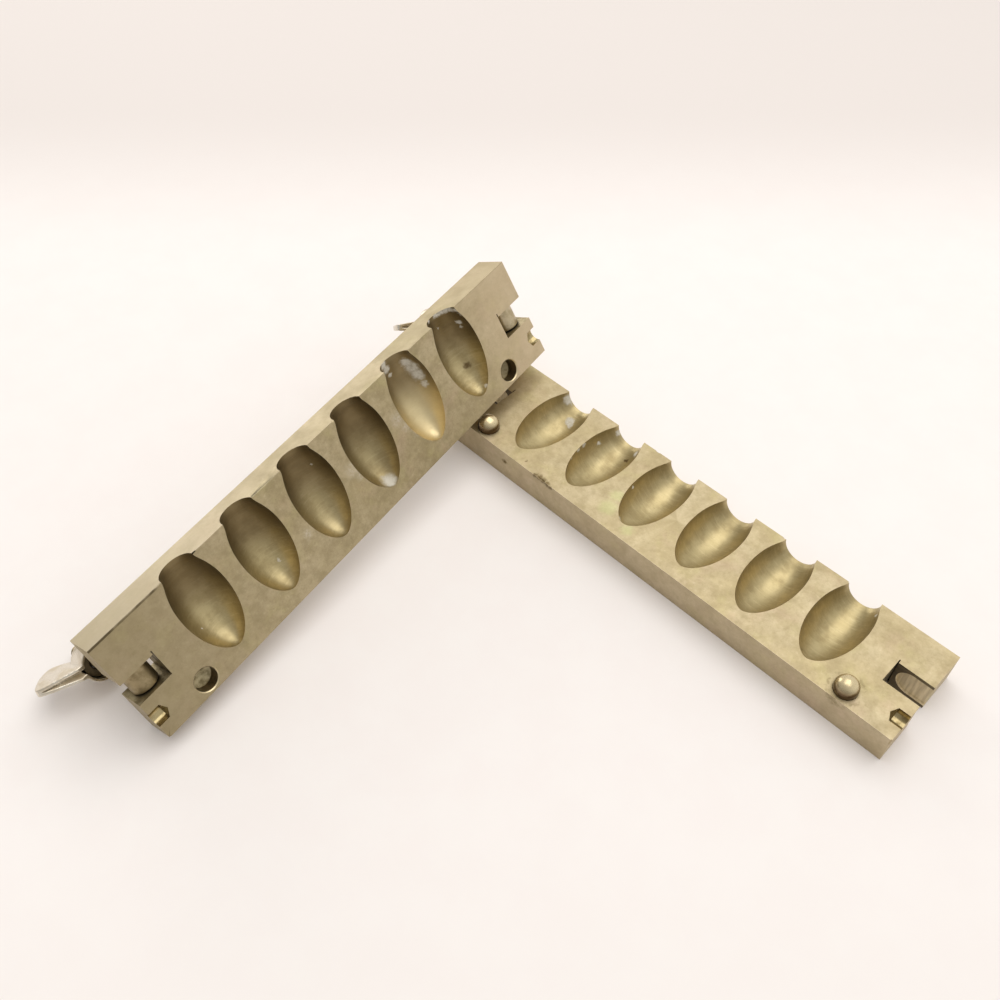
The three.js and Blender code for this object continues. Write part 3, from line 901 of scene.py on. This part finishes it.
def threaded_shank(steps=40, rows_per_turn=8, start=1.0, fade_turns=1.5, end_share=0.35, crest=1.6,
                   flank=4.4):
    """The shank from inside the barrel to its end, with a helical thread that fades in."""
    root = SHANK_RADIUS - THREAD_DEPTH
    spacing = THREAD_PITCH / rows_per_turn
    count = int((SHANK_REACH - THREAD_START) / spacing)
    rows = [[(SHANK_RADIUS * math.cos(2 * math.pi * s / steps),
              SHANK_RADIUS * math.sin(2 * math.pi * s / steps), start) for s in range(steps)]]
    for line in range(count + 1):
        height = THREAD_START + line * spacing
        fade = min(1.0, line / (rows_per_turn * fade_turns))
        end_taper = min(1.0, (count - line) / rows_per_turn + end_share)
        row = []
        for step in range(steps):
            phase = (height / THREAD_PITCH - step / steps) % 1.0
            ridge = min(1.0, max(0.0, crest - abs(phase - 0.5) * flank))
            cut = THREAD_DEPTH * (1 - ridge) * fade
            radius = min(SHANK_RADIUS - cut, root + THREAD_DEPTH * end_taper)
            angle = 2 * math.pi * step / steps
            row.append((radius * math.cos(angle), radius * math.sin(angle), height))
        rows.append(row)
    return grid_body(rows, "shank")


def make_bolt(side, look, steps=64, hole_steps=32, overrun=1.0):
    half = BARREL_LENGTH / 2
    edge = 0.3
    profile = [(0, -half), (BARREL_RADIUS - edge, -half), (BARREL_RADIUS, -half + edge),
               (BARREL_RADIUS, half - edge), (BARREL_RADIUS - edge, half), (0, half)]
    barrel = quarter_turn(revolve(profile, steps), "X")
    obj = object_from("bolt_" + side, paint(barrel, look))
    boolean(obj, paint(threaded_shank(), look), "UNION")
    radius = PIN_RADIUS + FIT_GAP
    reach = half + overrun
    hole = revolve([(0, -reach), (radius, -reach), (radius, reach), (0, reach)], hole_steps)
    boolean(obj, paint(quarter_turn(hole, "X"), look), "DIFFERENCE")
    smooth(obj, sharp_angle=40)
    finish_piece(obj, bolt_place(side), "bolt_" + side, "bright_brass", "swing_bolt_" + side)


# Wing nuts

def rounded_corners(points, times=2, share=0.25):
    """An open line of points with its inner corners cut off, twice over."""
    for _ in range(times):
        line = [points[0]]
        for first, second in zip(points, points[1:]):
            line.append(first.lerp(second, share))
            line.append(first.lerp(second, 1 - share))
        points = [*line, points[-1]]
    return points


def wing_corners():
    """A wing's outline, counterclockwise from where its front edge leaves the rim."""
    edge = [Vector((out * WING_SPAN, up * WING_HEIGHT)) for out, up in WING_EDGE]
    free = [Vector((CUP_RIM_RADIUS + CUP_CUSP, 0)), *edge, Vector((WING_ROOT_OUT, CUP_HEIGHT))]
    return [*rounded_corners(free), Vector((WING_ROOT_OUT, 0))]


def wing_plate():
    """A wing, thickest where it leaves the rim and thinner towards its tip and top."""
    root = CUP_RIM_RADIUS + CUP_CUSP
    outline = [tuple(point) for point in wing_corners()]
    return prism(outline, [WING_RIM_THICKNESS + THINNING_OUT * (out - root) + THINNING_UP * up
                           for out, up in outline])


def wing_slit():
    """The space between a wing's two leaves, which gape along the front edge and meet behind it."""
    start = Vector((CUP_RIM_RADIUS + CUP_CUSP, 0))
    end = Vector((WING_EDGE[0][0] * WING_SPAN, WING_EDGE[0][1] * WING_HEIGHT))
    along = (end - start).normalized()
    inward = Vector((-along.y, along.x))
    back = start - along * SLIT_SETBACK
    corners = [back - inward, end - along * SHEET / 2 - inward,
               end - along * SHEET + inward * SHEET, back + inward * SLIT_DEPTH]
    return prism([tuple(corner) for corner in corners], SLIT_GAPE)


def cup_inner(height):
    """The inner radius of the cup at a height above its rim."""
    return CUP_RIM_RADIUS - SHEET + (CUP_TOP_RADIUS - CUP_RIM_RADIUS) / CUP_HEIGHT * height


def cusp_mesh(radius, low, high):
    """The two sided point that the rim is drawn out to, along tangents of a circle."""
    spread = math.acos(CUP_RIM_RADIUS / (CUP_RIM_RADIUS + CUP_CUSP))
    across, along = radius * math.sin(spread), radius * math.cos(spread)
    reach = radius / math.cos(spread)
    outline = [(-reach, 0), (-along, -across), (along, -across),
               (reach, 0), (along, across), (-along, across)]
    return grid_body([[(x, y, level) for x, y in outline] for level in (low, high)])


def nut_shell_mesh(steps=96, grain=0.12, passes=9, pull=0.5, kept=0.55, overrun=1.0):
    """The pressed cup and its folded wings, fused and softened as pressed sheet is."""
    ceiling = CUP_HEIGHT - SHEET
    bend = SHEET / 2
    cup = revolve([(0, 0), (CUP_RIM_RADIUS, 0), (CUP_TOP_RADIUS, ceiling - bend),
                   (CUP_TOP_RADIUS - bend / 2, ceiling + bend / 2), (CUP_TOP_RADIUS - 2 * bend, CUP_HEIGHT),
                   (0, CUP_HEIGHT)], steps)
    hollow = revolve([(0, -overrun), (cup_inner(-overrun), -overrun), (cup_inner(ceiling), ceiling),
                      (BORE_RADIUS, ceiling), (BORE_RADIUS, CUP_HEIGHT + overrun),
                      (0, CUP_HEIGHT + overrun)], steps)
    obj = object_from("nut_shell", cup)
    boolean(obj, cusp_mesh(CUP_TOP_RADIUS, 0, ceiling), "UNION")
    turns = [Matrix.Rotation(0 if end > 0 else math.pi, 4, "Z") for end in ENDS]
    for turn in turns:
        boolean(obj, placed(wing_plate(), turn), "UNION")
    boolean(obj, hollow, "DIFFERENCE")
    boolean(obj, cusp_mesh(CUP_TOP_RADIUS - SHEET, -overrun, ceiling - SHEET), "DIFFERENCE")
    for turn in turns:
        boolean(obj, placed(wing_slit(), turn), "DIFFERENCE")
    remesh = obj.modifiers.new("remesh", "REMESH")
    remesh.mode = "VOXEL"
    remesh.voxel_size = grain
    relax = obj.modifiers.new("relax", "SMOOTH")
    relax.factor = pull
    relax.iterations = passes
    thinner = obj.modifiers.new("thin", "DECIMATE")
    thinner.ratio = kept
    apply_modifiers(obj)
    mesh = obj.data
    bpy.data.objects.remove(obj)
    return mesh


def make_nut(side, turn, shell_mesh, looks, steps=64, headroom=0.3, edge=0.3, slack=0.25):
    shell = object_from("nut_" + side, paint(shell_mesh.copy(), looks["nickel"]))
    for face in shell.data.polygons:
        face.use_smooth = True
    place = nut_place(side, turn)
    finish_piece(shell, place, "nut_" + side, "nickel_plate", "wing_shell_" + side)
    top = CUP_HEIGHT - SHEET - headroom
    profile = [(BORE_RADIUS + edge, BUSH_SETBACK), (cup_inner(BUSH_SETBACK) - slack, BUSH_SETBACK),
               (cup_inner(top) - slack, top), (BORE_RADIUS, top), (BORE_RADIUS, BUSH_SETBACK + edge)]
    bush = object_from("bush_" + side, paint(revolve(profile, steps), looks["dull"]))
    smooth(bush, sharp_angle=30)
    finish_piece(bush, place, "nut_" + side, "bright_brass", "threaded_bush_" + side)


# Floor, light and camera

def make_floor(size=3.0, thickness=0.004):
    """A pale sheet with painted shade: a little darker far behind the object and close to the viewer, as
    the light falls off.
    """
    mesh = box_mesh((-size, -size, -thickness), (size, size, 0.0))
    floor = object_from("floor", mesh)
    keep_place(mesh)
    look = Shader("floor_paper")
    x, y, _ = look.axes()
    away = look.sum("SUBTRACT", y, x)
    far = look.span(away, 0.19, 0.36)
    near = look.span(away, -0.1, -0.3)
    grain = look.span(look.noise(60, 4, 0.6), 0.3, 0.7, 0.0, 1.0)
    tone = look.blend(grain, colour(242, 236, 232), colour(241, 234, 230))
    # Painted shade: darker far behind and close to the viewer.
    tone = look.blend(far, tone, colour(225, 217, 212))
    tone = look.blend(near, tone, colour(237, 230, 225))
    look.set(Base_Color=tone, Roughness=0.9)
    look.surface.inputs["Specular IOR Level"].default_value = 0.1
    paint(mesh, look.material)


def make_lamp(name, place, aim, size, power):
    data = bpy.data.lights.new(name, "AREA")
    data.shape = "RECTANGLE"
    data.size = size
    data.size_y = size
    data.energy = power
    data.color = LAMP_TINT
    lamp = bpy.data.objects.new(name, data)
    bpy.context.scene.collection.objects.link(lamp)
    lamp.location = place
    lamp.rotation_euler = (Vector(aim) - Vector(place)).to_track_quat("-Z", "Y").to_euler()


def make_world(dim, bright, towards, tint):
    """A room that is brighter on one side and above, as by a large window."""
    world = bpy.data.worlds.new("room")
    bpy.context.scene.world = world
    world.use_nodes = True
    nodes = world.node_tree.nodes
    links = world.node_tree.links
    background = nodes["Background"]
    background.inputs["Color"].default_value = tint
    direction = nodes.new("ShaderNodeTexCoord")
    facing = nodes.new("ShaderNodeVectorMath")
    facing.operation = "DOT_PRODUCT"
    links.new(direction.outputs["Generated"], facing.inputs[0])
    facing.inputs[1].default_value = Vector(towards).normalized()
    strength = nodes.new("ShaderNodeMapRange")
    strength.interpolation_type = "SMOOTHSTEP"
    strength.inputs["From Min"].default_value = -0.7
    strength.inputs["From Max"].default_value = 0.8
    strength.inputs["To Min"].default_value = dim
    strength.inputs["To Max"].default_value = bright
    links.new(facing.outputs["Value"], strength.inputs["Value"])
    links.new(strength.outputs["Result"], background.inputs["Strength"])


def make_camera():
    data = bpy.data.cameras.new("photo_view")
    camera = bpy.data.objects.new("photo_view", data)
    bpy.context.scene.collection.objects.link(camera)
    data.sensor_width = SENSOR
    data.lens = SENSOR * FOCAL_PIXELS / IMAGE_SIZE
    data.clip_start = 0.01
    camera.location = CAMERA_AT
    camera.rotation_euler = (CAMERA_AIM - CAMERA_AT).to_track_quat("-Z", "Y").to_euler()
    bpy.context.scene.camera = camera


def main():
    make_camera()
    looks = {
        "half_a": olive_bar("brass_olive"),
        "half_b": sand_bar("brass_sand"),
        "cavity_a": turned_cavity("cavity_olive", CHALK_AND_HIGHLIGHT_A, STAINS_A, 0.75, CAVITY_TINTS_A),
        "cavity_b": turned_cavity("cavity_sand", CHALK_AND_HIGHLIGHT_B, STAINS_B, 0.0),
        "notch": notch_painted_shade("brass_notch_painted_shade"),
        "relief": relief_painted_light("brass_milled_painted_light"),
        "dowel": dowel_brass("brass_polished"),
        "sawn": turned_brass("brass_sawn", colour(166, 152, 118), colour(132, 118, 86), 0.4),
        "drilled": turned_brass("brass_drilled", colour(172, 156, 116), colour(132, 116, 80), 0.15),
        "socket": socket_brass("brass_socket"),
        # The two bolts are one brass: the left copy is darker as painted shade and the right copy paler as
        # painted light.
        "bolt_left": turned_brass("brass_bolt_left", colour(154, 139, 107), colour(136, 121, 90), 0.36),
        "bolt_right": turned_brass("brass_bolt_right", colour(190, 176, 146), colour(172, 158, 126), 0.3),
        # Painted shade: the bush inside the nut's cup is coloured dark.
        "dull": turned_brass("brass_bush_painted_shade", colour(120, 109, 88), colour(96, 86, 68), 0.4),
        "nickel": nickel_plate("nickel_plate"),
    }
    make_half_b(looks)
    make_half_a(looks)
    shell = nut_shell_mesh()
    for side, end, turn in (("left", -1, LEFT_NUT_TURN), ("right", 1, RIGHT_NUT_TURN)):
        make_dowel(side, end, looks["dowel"])
        make_cross_pin(side, end, looks["half_a"])
        make_bolt(side, looks["bolt_" + side])
        make_nut(side, turn, shell, looks)
    make_floor()
    make_world(dim=0.52, bright=0.98, towards=(0.1, 0.95, 0.3), tint=colour(252, 251, 249))
    make_lamp("sky_panel", place=(-0.08, 0.2, 1.0), aim=(-0.03, -0.05, 0), size=1.05, power=4.95)
    make_lamp("window", place=(-1.2, 0.2, 0.36), aim=(-0.05, -0.05, 0), size=0.6, power=2.8)
    bpy.context.scene.view_settings.view_transform = "Standard"


main()
